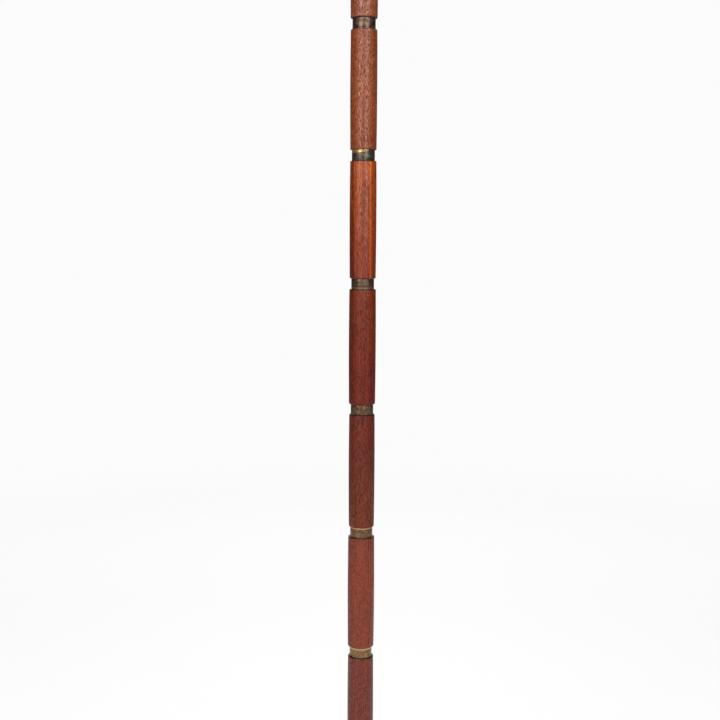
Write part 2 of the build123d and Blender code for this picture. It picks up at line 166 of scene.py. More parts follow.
def sharpen(piece, degrees=35):
    """Keeps edges crisp where faces meet at more than this angle."""
    bpy.context.view_layer.objects.active = piece
    piece.select_set(True)
    bpy.ops.object.shade_smooth_by_angle(angle=math.radians(degrees))
    piece.select_set(False)
    return piece


def softened_copy(node, name, width):
    """A copy of a CAD node's mesh with its sharp edges rounded by a width in millimetres."""
    mesh = frame["nodes"][node].data.copy()
    mesh.materials.clear()
    piece = bpy.data.objects.new(name, mesh)
    bpy.context.scene.collection.objects.link(piece)
    weld = piece.modifiers.new("weld", "WELD")
    weld.merge_threshold = 1e-6
    bevel = piece.modifiers.new("bevel", "BEVEL")
    bevel.width = width * MM
    bevel.segments = 2
    bevel.limit_method = "ANGLE"
    bevel.angle_limit = math.radians(32)
    bpy.context.view_layer.objects.active = piece
    for modifier in ("weld", "bevel"):
        bpy.ops.object.modifier_apply(modifier=modifier)
    sharpen(piece, 30)
    even = piece.modifiers.new("even", "WEIGHTED_NORMAL")
    even.keep_sharp = True
    even.weight = 100
    bpy.ops.object.modifier_apply(modifier="even")
    return piece


def heights(node):
    """Lowest and highest point of a CAD node, in millimetres."""
    low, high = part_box(node)
    return low.z / MM, high.z / MM


def place(piece, node, material):
    """The piece stands for a CAD node: it hides the node, rides on the same body and takes the
    given material.
    """
    piece.data.materials.append(material)
    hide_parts(node)
    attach(piece, frame["nodes"][node]["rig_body"])
    return piece


def thread_rows(radius, low, high, pitch):
    """Outline points close enough together for a thread."""
    steps = math.ceil((high - low) / pitch * ROWS_PER_TURN)
    return [(radius, low + (high - low) * i / steps) for i in range(steps + 1)]


def helix(radius, low, high, pitch):
    """The shape of a right-hand thread cut into a cylinder between two heights. It has straight
    flanks between a flat crest and a flat root, and runs out over one turn at each end."""
    depth = THREAD_DEPTH * pitch

    def cut(r, height, angle):
        if abs(r - radius) > 1e-6 or not low <= height <= high:
            return r
        phase = (height / pitch - angle / (2 * math.pi)) % 1
        share = min(1.0, max(0.0, 2.6 * abs(phase - 0.5) - 0.15))
        run_in = min(1.0, (height - low) / pitch, (high - height) / pitch)
        return r - depth * share * run_in

    return cut


# --- shader helpers -----------------------------------------------------------------------------
MIX_A, MIX_B, MIX_RESULT = 6, 7, 2  # the colour sockets of a Mix node


class Shader:
    """A material's node tree, with short calls that add a node and give its output."""

    def __init__(self, name):
        self.material = bpy.data.materials.new(name)
        self.material.use_nodes = True
        self.tree = self.material.node_tree
        self.surface = self.tree.nodes["Principled BSDF"]
        self.coords = self.tree.nodes.new("ShaderNodeTexCoord").outputs["Object"]

    def feed(self, socket, value):
        """Links an output to a socket, or sets the socket's own value."""
        if isinstance(value, bpy.types.NodeSocket):
            self.tree.links.new(value, socket)
        else:
            socket.default_value = value

    def node(self, kind, inputs, **settings):
        made = self.tree.nodes.new(kind)
        for key, value in settings.items():
            setattr(made, key, value)
        for key, value in inputs.items():
            self.feed(made.inputs[key], value)
        return made

    def math(self, operation, a, b=0.0, c=0.0):
        inputs = {0: a, 1: b, 2: c}
        return self.node("ShaderNodeMath", inputs, operation=operation).outputs[0]

    def mapped(self, vector, location=(0, 0, 0), rotation=(0, 0, 0), scale=(1, 1, 1)):
        """The vector scaled, turned and moved."""
        inputs = {"Vector": vector, "Location": location, "Rotation": rotation, "Scale": scale}
        return self.node("ShaderNodeMapping", inputs).outputs[0]

    def moved(self, seed, step):
        """The object's coordinates moved by a step for each seed, so that looks differ."""
        return self.mapped(self.coords, location=[seed * c for c in step])

    def noise(self, vector, scale=1.0, detail=2.0, roughness=0.5, stretch=(1, 1, 1)):
        inputs = {
            "Vector": self.mapped(vector, scale=stretch),
            "Scale": scale,
            "Detail": detail,
            "Roughness": roughness,
        }
        return self.node("ShaderNodeTexNoise", inputs).outputs[0]

    def wander(self, vector, scale, reach, stretch=(1, 1, 1)):
        """The vector moved about smoothly by up to half of reach."""
        inputs = {"Vector": self.mapped(vector, scale=stretch), "Scale": scale, "Detail": 1.0}
        cloud = self.node("ShaderNodeTexNoise", inputs).outputs["Color"]
        inputs = {0: cloud, 1: (reach, reach, reach), 2: vector}
        return self.node("ShaderNodeVectorMath", inputs, operation="MULTIPLY_ADD").outputs[0]

    def cells(self, vector, scale, stretch=(1, 1, 1)):
        """Distance to the middle of each random cell, and a random number for the cell."""
        inputs = {"Vector": self.mapped(vector, scale=stretch), "Scale": scale}
        made = self.node("ShaderNodeTexVoronoi", inputs)
        return made.outputs["Distance"], self.axes(made.outputs["Color"])[0]

    def remap(self, value, low, high, to_low=0.0, to_high=1.0):
        """The value eased from one range to another, and held beyond its ends."""
        inputs = {
            "Value": value,
            "From Min": low,
            "From Max": high,
            "To Min": to_low,
            "To Max": to_high,
        }
        made = self.node("ShaderNodeMapRange", inputs, interpolation_type="SMOOTHSTEP")
        return made.outputs[0]

    def mix(self, factor, a, b, blend="MIX"):
        made = self.node("ShaderNodeMix", {0: factor}, data_type="RGBA", blend_type=blend)
        self.feed(made.inputs[MIX_A], a)
        self.feed(made.inputs[MIX_B], b)
        return made.outputs[MIX_RESULT]

    def bump(self, height, distance, strength=1.0):
        inputs = {"Height": height, "Distance": distance, "Strength": strength}
        return self.node("ShaderNodeBump", inputs).outputs[0]

    def axes(self, vector):
        """The three coordinates of a vector."""
        return self.node("ShaderNodeSeparateXYZ", {0: vector}).outputs

    def finish(self, **inputs):
        """Sets the surface's inputs and gives the material."""
        for key, value in inputs.items():
            socket = key.replace("_", " ").title().replace("Ior", "IOR")
            self.feed(self.surface.inputs[socket], value)
        return self.material


def linear(red, green, blue):
    """A colour given as 0 to 255 on a screen, as the shader wants it."""

    def value(c):
        c /= 255
        return c / 12.92 if c <= 0.04045 else ((c + 0.055) / 1.055) ** 2.4

    return (value(red), value(green), value(blue), 1.0)


# --- wood ---------------------------------------------------------------------------------------
# Each timber: its darkest, usual and lightest colour, how much its flecks and its lengthwise
# streaks show, how fine and how short its flecks are, how much its grain wanders, and its finish.
TIMBERS = {
    "tan": dict(dark=(70, 26, 11), usual=(132, 64, 34), light=(180, 110, 74), flecks=1.0,
                streaks=0.40, fine=900, short=0.32, wander=1.2, roughness=0.38, gloss=0.50),
    "brown": dict(dark=(66, 20, 5), usual=(129, 58, 20), light=(178, 100, 50), flecks=1.0,
                  streaks=0.35, fine=900, short=0.34, wander=1.2, roughness=0.40, gloss=0.50),
    "orange": dict(dark=(72, 16, 1), usual=(134, 48, 2), light=(182, 82, 8), flecks=0.8,
                   streaks=0.70, fine=950, short=0.20, wander=0.4, roughness=0.38, gloss=0.50),
    "oxblood": dict(dark=(58, 6, 1), usual=(104, 22, 1), light=(140, 38, 4), flecks=0.9,
                    streaks=0.45, fine=900, short=0.22, wander=0.3, roughness=0.42, gloss=0.36),
    "maroon": dict(dark=(56, 7, 1), usual=(96, 22, 1), light=(130, 38, 5), flecks=0.9,
                   streaks=0.45, fine=900, short=0.22, wander=0.3, roughness=0.44, gloss=0.40),
    "brick": dict(dark=(80, 24, 5), usual=(119, 41, 8), light=(146, 60, 16), flecks=0.7,
                  streaks=0.30, fine=1000, short=0.40, wander=0.4, roughness=0.46, gloss=0.50),
    "russet": dict(dark=(68, 20, 6), usual=(104, 33, 12), light=(132, 51, 21), flecks=0.7,
                   streaks=0.30, fine=1000, short=0.40, wander=0.4, roughness=0.46, gloss=0.50),
    "mahogany": dict(dark=(44, 8, 3), usual=(84, 22, 6), light=(120, 42, 12), flecks=0.35,
                     streaks=0.90, fine=1100, short=0.09, wander=0.5, roughness=0.36, gloss=0.50),
}
# Timber of each section, bottom to top.
CUTS = (
    "oxblood", "russet", "brick", "maroon", "oxblood", "orange",
    "brown", "tan", "brown", "orange", "brick", "brown",
)

LAYERS_X, LAYERS_Y = 240, 130  # growth layers a metre
LAYER_WARP = 9  # how far the layers wander, in radians
STRIPE_WARP = 4 * MM  # how far a stripe wanders


def wood(name, timber, centre, seed, turn=(0.0, 0.0, 0.0), half_length=None, stripes=(),
         drift=None):
    """Oiled hardwood, its grain along Z or turned from it by turn. Lengths are in metres.

    half_length is how far the ends are from the centre: near each end the colour goes dark, partly
    the timber's own darker end grain and partly painted shade where the wood meets a collar.
    stripes are bands along the grain, lighter or darker, each with its place in X, its half width
    and its lightness. drift multiplies the colour, by its first tint at the lower end and by its
    second at the upper one.
    """
    look = TIMBERS[timber]
    dark, usual, light = (linear(*look[key]) for key in ("dark", "usual", "light"))
    s = Shader(name)
    centred = s.mapped(s.coords, location=[-c for c in centre])
    along = s.mapped(centred, location=(seed * 0.37, seed * 0.11, seed * 0.73), rotation=turn)
    along = s.wander(along, 110, look["wander"] * 2.4 * MM, (1, 1, 0.5))

    # Growth layers, streaks, fibres and clouds make the tone.
    warp = s.noise(along, scale=40, stretch=(1, 1, 0.06))
    x, y, _ = s.axes(along)
    layer = s.math("ADD", s.math("MULTIPLY", x, LAYERS_X), s.math("MULTIPLY", y, LAYERS_Y))
    layer = s.math("MULTIPLY_ADD", warp, LAYER_WARP, s.math("MULTIPLY", layer, 2 * math.pi))
    streak = s.noise(along, scale=260, detail=3, roughness=0.6, stretch=(1, 1, 0.05))
    fibre = s.noise(along, scale=1500, stretch=(1, 1, 0.03))
    cloud = s.noise(along, scale=55, stretch=(1, 1, 0.4))
    tone = s.math("MULTIPLY_ADD", s.math("SINE", layer), 0.05, 0.5)
    for pattern, share in ((streak, look["streaks"]), (fibre, 0.45), (cloud, 0.3)):
        tone = s.math("ADD", tone, s.math("MULTIPLY_ADD", pattern, share, -share / 2))
    across, _, up = s.axes(centred)
    # A stripe with a negative lightness makes the section darker there; in STRIPES these sit on
    # the -X side.
    for place_across, half_width, lightness in stripes:
        bent = s.math("MULTIPLY_ADD", warp, STRIPE_WARP, across)
        off = s.math("ABSOLUTE", s.math("SUBTRACT", bent, place_across + STRIPE_WARP / 2))
        tone = s.math("MULTIPLY_ADD", s.remap(off, half_width, 0.0), lightness, tone)
    colour = s.mix(s.remap(tone, 0.22, 0.52), dark, usual)
    colour = s.mix(s.remap(tone, 0.52, 0.85), colour, light)

    # Flecks and pores lie on top.
    fleck = s.noise(along, look["fine"], detail=2.5, roughness=0.6, stretch=(1, 1, look["short"]))
    dark_fleck = s.remap(fleck, 0.47, 0.33)
    light_fleck = s.remap(fleck, 0.55, 0.70)
    distance, pick = s.cells(along, 1500, (1, 1, 0.10))
    pore = s.math("MULTIPLY", s.remap(distance, 0.5, 0.2), s.remap(pick, 0.6, 0.5))
    show = 0.85 * look["flecks"]
    colour = s.mix(s.math("MULTIPLY", light_fleck, show), colour, light)
    colour = s.mix(s.math("MULTIPLY", dark_fleck, show), colour, dark)
    colour = s.mix(s.math("MULTIPLY", pore, 0.35), colour, dark)
    if drift:
        tint = s.mix(s.remap(up, -half_length, half_length), *((*t, 1.0) for t in drift))
        colour = s.mix(1.0, colour, tint, "MULTIPLY")
    # Painted shade: near each end the colour goes dark, partly the timber's darker end grain and
    # partly shade where the wood meets a collar.
    if half_length:
        reach = s.math("ABSOLUTE", up)
        end = s.remap(reach, half_length - 1.4 * MM, half_length - 0.4 * MM, 0.0, 0.88)
        colour = s.mix(end, colour, [c * 0.35 for c in dark[:3]] + [1.0])

    # Dark flecks and pores are pits, rougher and less glossy than the oiled wood round them.
    pits = s.math("MAXIMUM", s.math("MULTIPLY", dark_fleck, look["flecks"]), pore)
    height = s.math("SUBTRACT", s.math("MULTIPLY", fibre, 0.4), pits)
    smear = s.noise(along, scale=120, detail=3, stretch=(1, 1, 0.3))
    rough = s.math("MULTIPLY_ADD", smear, 0.16, look["roughness"] - 0.08)
    rough = s.math("MULTIPLY_ADD", pits, 0.15, rough)
    sheen = s.noise(along, scale=1300, stretch=(1, 1, 0.4))
    gloss = s.remap(sheen, 0.32, 0.68, 0.5 * look["gloss"], 1.65 * look["gloss"])
    gloss = s.math("MULTIPLY", gloss, s.remap(pits, 0.15, 0.9, 1.0, 0.3))
    return s.finish(
        base_color=colour,
        roughness=rough,
        specular_ior_level=gloss,
        normal=s.bump(height, 0.00008, 0.7),
    )


SWELL = 0.35  # how far a section's radius at its ends is inside its middle radius
ARRIS = 0.9  # rounding of a section's ends
UNEVEN = 0.15  # room kept inside the model for the marks of hand turning
SEAT_R = 8.05
WOOD_BORE_R = 4.6
SEAT_DEPTH = 5.2
JOINT_SEAT_DEPTH = 30.2
CAP_SEAT_DEPTH = 14.2
# Sections with stripes along the grain: lighter ones, and darker ones on the -X side. Also
# sections whose colour drifts from end to end.
STRIPES = {
    3: ((-0.0125, 0.0065, -0.12),),
    5: ((-0.0125, 0.0065, -0.12),),
    6: ((0.0078, 0.0022, 0.3), (-0.0125, 0.0065, -0.25)),
    10: ((-0.005, 0.002, 0.35),),
}
DRIFTS = {
    4: ((1.0, 1.9, 1.2), (0.95, 1.1, 1.0)),
    5: ((0.84, 1.0, 1.0), (1.04, 2.0, 1.4)),
    6: ((0.78, 0.62, 1.0), (1.35, 1.70, 1.6)),
    9: ((1.08, 1.05, 1.0), (0.90, 0.92, 1.0)),
    12: ((0.88, 0.85, 1.0), (1.05, 1.05, 1.0)),
}


def seat_depths(number):
    """Depths of the counterbores at a section's lower and upper ends."""
    lower = JOINT_SEAT_DEPTH if number == JOINT_AFTER + 1 else SEAT_DEPTH
    upper = JOINT_SEAT_DEPTH if number == JOINT_AFTER else SEAT_DEPTH
    return lower, CAP_SEAT_DEPTH if number == SECTIONS else upper


def wood_section(number):
    """A hand-turned section: barrelled, rounded at both ends, with slight turning marks."""
    node = f"section_{number:02d}"
    low, high = heights(node)
    middle_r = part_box(node)[1].x / MM - UNEVEN
    end_r = middle_r - SWELL
    lower_depth, upper_depth = seat_depths(number)
    steps = 72
    barrel = []
    for i in range(steps + 1):
        t = i / steps
        height = low + ARRIS + (high - low - 2 * ARRIS) * t
        barrel.append((end_r + SWELL * (1 - (2 * t - 1) ** 2), height))
    shoulder = ARRIS * (1 - math.sqrt(0.5))
    lower_round = arc_through(
        (end_r - ARRIS, low), (end_r - shoulder, low + shoulder), (end_r, low + ARRIS), 6
    )
    upper_round = arc_through(
        (end_r, high - ARRIS), (end_r - shoulder, high - shoulder), (end_r - ARRIS, high), 6
    )
    outline = [(SEAT_R, low), *lower_round, *barrel[1:-1], *upper_round]
    outline += [
        (SEAT_R, high),
        (SEAT_R, high - upper_depth),
        (WOOD_BORE_R, high - upper_depth),
        (WOOD_BORE_R, low + lower_depth),
        (SEAT_R, low + lower_depth),
    ]

    def hand_turned(radius, height, angle):
        """Slow and fine unevenness, with nicks worn into the edges at both ends."""
        if radius < SEAT_R + 1:
            return radius

        def marks(around, along, shift):
            x, y = math.cos(angle) * around, math.sin(angle) * around
            return noise.noise(Vector((x, y, height * along + number * shift)))

        from_end = min(height - low, high - height)
        wear = 0.10 * max(0.0, marks(9, 0.7, 13)) * max(0.0, 1 - from_end / 3)
        return radius + 0.07 * marks(0.7, 0.022, 5) + 0.02 * marks(4, 0.16, 9) - wear

    piece = lathe(f"turned_{node}", outline, 96, hand_turned)
    material = wood(
        f"wood_{number:02d}",
        CUTS[number - 1],
        (0, 0, (low + high) / 2 * MM),
        seed=number,
        turn=(math.radians(1.2), math.radians(-0.8), math.radians(47 * number)),
        half_length=(high - low) / 2 * MM,
        stripes=STRIPES.get(number, ()),
        drift=DRIFTS.get(number),
    )
    return place(piece, node, material)


for number in range(1, SECTIONS + 1):
    wood_section(number)


# --- brass --------------------------------------------------------------------------------------
BRASS = (206, 168, 108)


def aged_brass(name, low, high, dark=(70, 58, 44), light=(128, 108, 84), top=None, bottom=None,
               slant=0.0, seed=0.0, roughness=0.38):
    """Tarnished brass between two heights in metres. top and bottom are the height and colour of
    a worn band at that edge, and slant makes the upper one wider towards -X."""
    s = Shader(name)
    x, _, z = s.axes(s.coords)
    here = s.moved(seed, (0.21, 0.33, 0.17))
    patch = s.noise(here, scale=330, detail=4, roughness=0.62)
    band = s.noise(here, scale=300, detail=3, stretch=(0.25, 0.25, 2.2))
    lines = s.noise(here, scale=5200, stretch=(0.03, 0.03, 1))
    age = s.math("ADD", s.math("MULTIPLY", patch, 0.7), s.math("MULTIPLY", band, 0.3))
    colour = s.mix(s.remap(age, 0.34, 0.66), linear(*dark), linear(*light))
    from_top = s.math("MULTIPLY_ADD", x, slant, s.math("SUBTRACT", high, z))
    from_bottom = s.math("SUBTRACT", z, low)
    for edge, worn in ((from_top, top), (from_bottom, bottom)):
        if worn:
            ragged = s.math("MULTIPLY_ADD", patch, 1.2 * MM, edge)
            share = s.remap(ragged, worn[0] + 0.9 * MM, worn[0] + 0.3 * MM)
            colour = s.mix(share, colour, linear(*worn[1]))
    rough = s.math("MULTIPLY_ADD", patch, 0.24, roughness - 0.12)
    rough = s.math("MULTIPLY_ADD", lines, 0.08, rough)
    height = s.math("ADD", lines, s.math("MULTIPLY", patch, 0.6))
    return s.finish(
        base_color=colour,
        metallic=0.9,
        roughness=rough,
        normal=s.bump(height, 0.00002, 0.6),
    )


def worn_brass(name, seed, along_x=False):
    """Brass that is handled: bright, with brown tarnish in patches and fine marks round its
    axis, which is Z or X."""
    s = Shader(name)
    here = s.moved(seed, (0.19, 0.29, 0.13))
    round_it = (1, 0.04, 0.04) if along_x else (0.04, 0.04, 1)
    lines = s.noise(here, scale=3600, detail=3, stretch=round_it)
    scratch = s.noise(here, scale=900, detail=4, roughness=0.7, stretch=(1, 0.2, 0.5))
    patch = s.noise(here, scale=95, detail=5, roughness=0.62)
    spots = s.noise(here, scale=700, detail=2)
    age = s.math("MULTIPLY_ADD", spots, 0.35, s.math("MULTIPLY", patch, 0.75))
    tarnish = s.remap(age, 0.40, 0.72)
    colour = s.mix(tarnish, linear(196, 152, 84), linear(104, 74, 42))
    colour = s.mix(s.remap(lines, 0.45, 0.75, 0.0, 0.25), colour, linear(224, 188, 124))
    rough = s.math("MULTIPLY_ADD", tarnish, 0.22, 0.20)
    rough = s.math("MULTIPLY_ADD", scratch, 0.12, rough)
    height = s.math("MULTIPLY_ADD", scratch, 0.5, lines)
    return s.finish(
        base_color=colour,
        metallic=0.95,
        roughness=rough,
        normal=s.bump(height, 0.00002, 0.5),
    )


# Collars whose tarnish differs from the usual.
COLLAR_LOOKS = {
    2: dict(dark=(88, 67, 43), light=(156, 123, 84), top=(2.1 * MM, (210, 166, 124)),
            roughness=0.30),
    3: dict(dark=(84, 65, 47), light=(152, 117, 88), top=(1.5 * MM, (236, 180, 132)),
            bottom=(0.2 * MM, (160, 124, 92)), roughness=0.32),
    4: dict(dark=(84, 65, 48), light=(150, 114, 89), bottom=(0.1 * MM, (86, 72, 48)),
            roughness=0.33),
    5: dict(dark=(67, 55, 44), light=(119, 95, 77), top=(0.0, (160, 126, 98)),
            bottom=(2.4 * MM, (144, 112, 88))),
    7: dict(dark=(60, 45, 38), light=(122, 98, 82), bottom=(0.3 * MM, (176, 146, 118))),
}


def collar(number):
    """A brass band in view between two sections, with a spigot that sits in each."""
    node = f"collar_{number:02d}"
    tip, top = heights(node)
    low, high = tip + SPIGOT_LENGTH, top - SPIGOT_LENGTH
    outline = rounded([
        (CLEARED_R, tip),
        (SPIGOT_R, tip, SOFT),
        (SPIGOT_R, low),
        (COLLAR_R, low, SOFT),
        (COLLAR_R, high, SOFT),
        (SPIGOT_R, high),
        (SPIGOT_R, top, SOFT),
        (CLEARED_R, top),
    ])
    piece = sharpen(lathe(f"turned_{node}", outline, 128))
    looks = COLLAR_LOOKS.get(number, {})
    material = aged_brass(f"brass_{number:02d}", low * MM, high * MM, seed=number, **looks)
    return place(piece, node, material)


for number in range(1, SECTIONS):
    if number != JOINT_AFTER:
        collar(number)


# --- screw joint --------------------------------------------------------------------------------
JOINT_STUD_R = 6.0
JOINT_BORE_R = 6.08
JOINT_PITCH = 1.75
WASHER_HOLE_R = 6.2


def joint_socket():
    """The long brass nut at the top of the lower half, bored for the stud and for a rod."""
    low, high = heights("joint_socket")
    shoulder = heights("joint_washer")[1] - COLLAR_GAP
    bore_depth, web = 18.75, 7.05
    bore_bottom = high - bore_depth
    rod_top = bore_bottom - web
    outline = rounded([
        (BORED_R, low),
        (SPIGOT_R, low, SOFT),
        (SPIGOT_R, shoulder),
        (COLLAR_R, shoulder, SOFT),
        (COLLAR_R, high, SOFT),
        (JOINT_BORE_R + LEAD_IN, high),
        (JOINT_BORE_R, high - LEAD_IN),
        (JOINT_BORE_R, bore_bottom),
        (0, bore_bottom),
        (0, rod_top),
        (BORED_R, rod_top),
    ])
    piece = sharpen(lathe("turned_joint_socket", outline, 128))
    material = aged_brass(
        "brass_joint", shoulder * MM, high * MM, dark=(58, 51, 43), light=(112, 101, 89),
        top=(0.6 * MM, (192, 148, 104)), slant=0.12, seed=6,
    )
    return place(piece, "joint_socket", material)


def joint_washer():
    low, high = heights("joint_washer")
    outline = rounded([
        (WASHER_HOLE_R, low),
        (COLLAR_R, low, 0.15),
        (COLLAR_R, high, 0.15),
        (WASHER_HOLE_R, high),
    ])
    piece = sharpen(lathe("turned_joint_washer", outline, 128))
    material = aged_brass(
        "brass_joint_washer", low * MM, high * MM, top=(1.2 * MM, BRASS), slant=0.12, seed=16,
    )
    return place(piece, "joint_washer", material)


def joint_stud():
    """The threaded foot of the upper half, with a spigot above it that takes the upper rod."""
    tip, top = heights("joint_stud")
    shoulder = heights("joint_washer")[1]
    bevel, plain, solid = 1.0, 0.4, 16.0
    rod_bottom = shoulder + solid
    rows = thread_rows(JOINT_STUD_R, tip + bevel, shoulder - plain, JOINT_PITCH)
    outline = [
        (0, tip),
        (JOINT_STUD_R - bevel, tip),
        *rows,
        (JOINT_STUD_R, shoulder),
        (SPIGOT_R, shoulder),
        (SPIGOT_R, top),
        (BORED_R, top),
        (BORED_R, rod_bottom),
        (0, rod_bottom),
    ]
    cut = helix(JOINT_STUD_R, rows[0][1], rows[-1][1], JOINT_PITCH)
    piece = sharpen(lathe("threaded_joint_stud", outline, 96, cut), 50)
    return place(piece, "joint_stud", worn_brass("brass_stud", 3))


joint_socket()
joint_washer()
joint_stud()


# --- top of the pole ----------------------------------------------------------------------------
CAP_TOP = heights("top_cap")[1]
FINIAL_BOTTOM = heights("finial_washer")[1]
BALL_R = 22.0
BALL_CENTRE = CAP_TOP + 40.0
NUT_R = 6.5


def top_cap():
    """The brass nut that clamps the upper half, bored for the finial's stud."""
    low, high = heights("top_cap")
    shoulder = high - COLLAR_GAP
    bore_r = 4.08
    rod_top = shoulder - 1.5
    outline = rounded([
        (BORED_R, low),
        (SPIGOT_R, low, SOFT),
        (SPIGOT_R, shoulder),
        (COLLAR_R, shoulder, SOFT),
        (COLLAR_R, high, 0.6),
        (bore_r + LEAD_IN, high),
        (bore_r, high - LEAD_IN),
        (bore_r, rod_top),
        (BORED_R, rod_top),
    ])
    piece = sharpen(lathe("turned_top_cap", outline, 128))
    material = aged_brass(
        "brass_cap", shoulder * MM, high * MM, top=(0.3 * MM, BRASS), seed=12,
    )
    return place(piece, "top_cap", material)


def finial_washer():
    low, high = heights("finial_washer")
    outer_r = COLLAR_R + 1
    outline = rounded([
        (CLEARED_R, low),
        (outer_r, low, 0.4),
        (outer_r, high, 0.4),
        (CLEARED_R, high),
    ])
    piece = sharpen(lathe("turned_finial_washer", outline, 128))
    return place(piece, "finial_washer", worn_brass("brass_finial_washer", 5))


def finial_neck():
    """A waisted neck on a foot, with a cup that the ball sits in."""
    low, _ = heights("finial_neck")
    foot_r, foot_top = COLLAR_R + 0.5, low + 2.4
    waist_r, waist_height = 6.6, low + 10
    rim_r, rim_depth = 9.0, 1.5
    rim_bottom = BALL_CENTRE - math.sqrt(BALL_R**2 - rim_r**2) - rim_depth
    waist = arc_through((foot_r, foot_top), (waist_r, waist_height), (rim_r, rim_bottom), 28)
    seat_r = BALL_R + 0.05

    def cup(radius):
        return radius, BALL_CENTRE - math.sqrt(seat_r**2 - radius**2)

    outline = rounded([
        (BORED_R, low),
        (foot_r, low, 0.6),
        (foot_r, foot_top, 0.5),
        *waist[1:-1],
        (rim_r, rim_bottom, 0.4),
        (*cup(rim_r), 0.4),
        cup(7.4),
        cup(5.7),
        cup(BORED_R),
    ])
    piece = sharpen(lathe("turned_finial_neck", outline, 128))
    return place(piece, "finial_neck", worn_brass("brass_finial_neck", 7))


def finial_ball():
    """A turned ball, bored through and flat where the nut sits."""
    _, high = heights("finial_ball")
    flat_r = NUT_R + 0.3
    start = (BORED_R, BALL_CENTRE - math.sqrt(BALL_R**2 - BORED_R**2))
    surface = arc_through(start, (BALL_R, BALL_CENTRE), (flat_r, high), 64)
    outline = [*surface, (BORED_R, high)]

    def hand_turned(radius, height, angle):
        if radius < flat_r + 0.5:
            return radius
        spot = Vector((math.cos(angle), math.sin(angle), height * 0.05))
        return radius - 0.05 - 0.05 * noise.noise(spot)

    piece = lathe("turned_finial_ball", outline, 128, hand_turned)
    material = wood("wood_finial", "mahogany", (0, 0, BALL_CENTRE * MM), 22)
    return place(sharpen(piece, 50), "finial_ball", material)


def finial_nut():
    """A domed nut, closed at the top."""
    low, high = heights("finial_nut")
    skirt_top = low + 2.5
    rise = high - skirt_top
    dome_r = (NUT_R**2 + rise**2) / (2 * rise)
    middle = (NUT_R / 2, high - dome_r + math.sqrt(dome_r**2 - NUT_R**2 / 4))
    dome = arc_through((NUT_R, skirt_top), middle, (0, high), 20)
    hole_top = heights("finial_stud")[1] + 0.2
    outline = rounded([
        (BORED_R, low),
        (NUT_R, low, 0.4),
        (NUT_R, skirt_top, 0.3),
        *dome[1:-1],
        (0, high),
        (0, hole_top),
        (BORED_R, hole_top),
    ])
    piece = sharpen(lathe("turned_finial_nut", outline, 96))
    return place(piece, "finial_nut", worn_brass("brass_finial_nut", 9))


top_cap()
finial_washer()
finial_neck()
finial_ball()
finial_nut()


# --- steel --------------------------------------------------------------------------------------
def zinc_steel(name, seed, pitch=None):
    """Zinc-plated steel, dulled in cloudy patches. pitch, in millimetres, marks a thread on it
    about Z."""
    s = Shader(name)
    here = s.moved(seed, (0.23, 0.31, 0.07))
    cloud = s.noise(here, scale=160, detail=4, roughness=0.6)
    grain = s.noise(here, scale=2400, detail=2)
    colour = s.mix(s.remap(cloud, 0.3, 0.7), linear(150, 150, 146), linear(190, 190, 188))
    colour = s.mix(s.remap(grain, 0.5, 0.8, 0.0, 0.4), colour, linear(112, 108, 100))
    height = s.math("MULTIPLY", grain, 0.1)
    if pitch:
        x, y, z = s.axes(s.coords)
        around = s.math("MULTIPLY", s.math("ARCTAN2", y, x), 1 / (2 * math.pi))
        phase = s.math("SUBTRACT", s.math("MULTIPLY", z, 1 / (pitch * MM)), around)
        ridge = s.math("PINGPONG", phase, 0.5)
        height = s.math("MULTIPLY_ADD", ridge, 2.0, height)
    rough = s.math("MULTIPLY_ADD", cloud, 0.25, 0.28)
    return s.finish(
        base_color=colour,
        metallic=0.95,
        roughness=rough,
        normal=s.bump(height, 0.0003, 0.6),
    )


def finial_stud():
    low, high = heights("finial_stud")
    bevel = 0.8
    rows = thread_rows(ROD_R, low + bevel, FINIAL_BOTTOM, ROD_PITCH)
    outline = [
        (0, low),
        (ROD_R - bevel, low),
        *rows,
        (ROD_R, high - bevel),
        (ROD_R - bevel, high),
        (0, high),
    ]
    cut = helix(ROD_R, rows[0][1], rows[-1][1], ROD_PITCH)
    piece = sharpen(lathe("threaded_finial_stud", outline, 72, cut), 50)
    return place(piece, "finial_stud", zinc_steel("steel_finial_stud", 4))


finial_stud()


# --- base, socket and clamp ---------------------------------------------------------------------
BASE_R = 150.0
CLAMP_HEIGHT = 92.0
CLAMP_AXIS = Matrix.Translation((0, 0, CLAMP_HEIGHT)) @ Matrix.Rotation(math.radians(90), 4, "Y")
CLAMP_SCREW_R = 3.0
CLAMP_PITCH = 1.0
SCREW_BEVEL = 0.15
SOCKET_BEVEL = 0.5


def wool_felt():
    """Pressed wool felt: matted fibres that lie every way."""
    s = Shader("felt_green")
    curl = s.noise(s.coords, scale=260, detail=3)
    shifted = s.wander(s.coords, 260, 8 * MM)
    hairs = s.noise(shifted, scale=1900, detail=4, roughness=0.7, stretch=(1, 0.15, 1))
    crossed = s.noise(shifted, scale=1900, detail=4, roughness=0.7, stretch=(0.15, 1, 1))
    mat = s.math("MAXIMUM", hairs, crossed)
    colour = s.mix(s.remap(mat, 0.4, 0.75), linear(24, 40, 30), linear(62, 84, 66))
    colour = s.mix(s.remap(curl, 0.3, 0.8, 0.0, 0.4), colour, linear(40, 54, 42))
    return s.finish(
        base_color=colour,
        roughness=0.95,
        sheen_weight=0.35,
        normal=s.bump(mat, 0.0004, 0.8),
    )


def felt_pad():
    """The felt disc under the base, with a slightly uneven cut edge."""
    low, high = heights("felt_pad")
    edge_r = BASE_R - 4
    outline = rounded([(0, low), (edge_r, low, 0.9), (edge_r, high, 0.5), (0, high)])

    def cut_by_hand(radius, height, angle):
        if radius < edge_r - 1:
            return radius
        spot = Vector((math.cos(angle) * 30, math.sin(angle) * 30, height))
        return radius - 0.25 + 0.2 * noise.noise(spot)

    return place(lathe("cut_felt_pad", outline, 288, cut_by_hand), "felt_pad", wool_felt())


